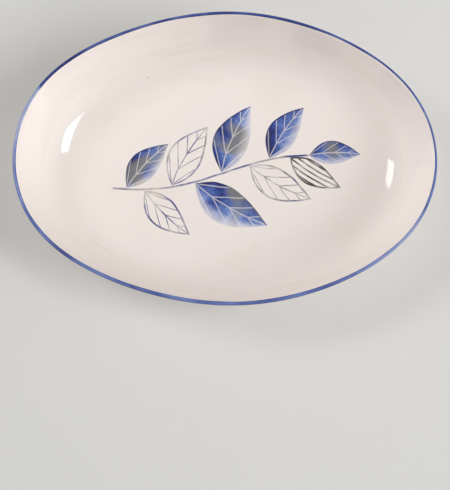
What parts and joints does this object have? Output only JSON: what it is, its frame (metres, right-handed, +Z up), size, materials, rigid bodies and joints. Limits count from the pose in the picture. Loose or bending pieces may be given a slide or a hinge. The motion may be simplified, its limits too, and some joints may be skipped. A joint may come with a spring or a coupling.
{
  "type": "serving bowl",
  "caption": "Oval glazed earthenware serving bowl with a softly waved, blue-banded rim, a wide flat floor and a low bare foot ring.",
  "frame": {"origin": "on the table, at the middle of the foot ring's standing face, under the middle of the oval rim", "axes": "+X along the oval's length towards the lower end of the rim, +Y across it, +Z up"},
  "size_m": [0.3598, 0.2548, 0.07],
  "materials": {
    "bare_clay": "matte",
    "white_glaze": "gloss",
    "blue_glaze": "gloss"
  },
  "bodies": {
    "root": {"clay_body": "bare_clay", "foot_ring": "bare_clay", "inner_glaze": "white_glaze", "outer_glaze": "white_glaze", "base_glaze": "white_glaze", "rim_band": "blue_glaze"}
  },
  "joints": []
}
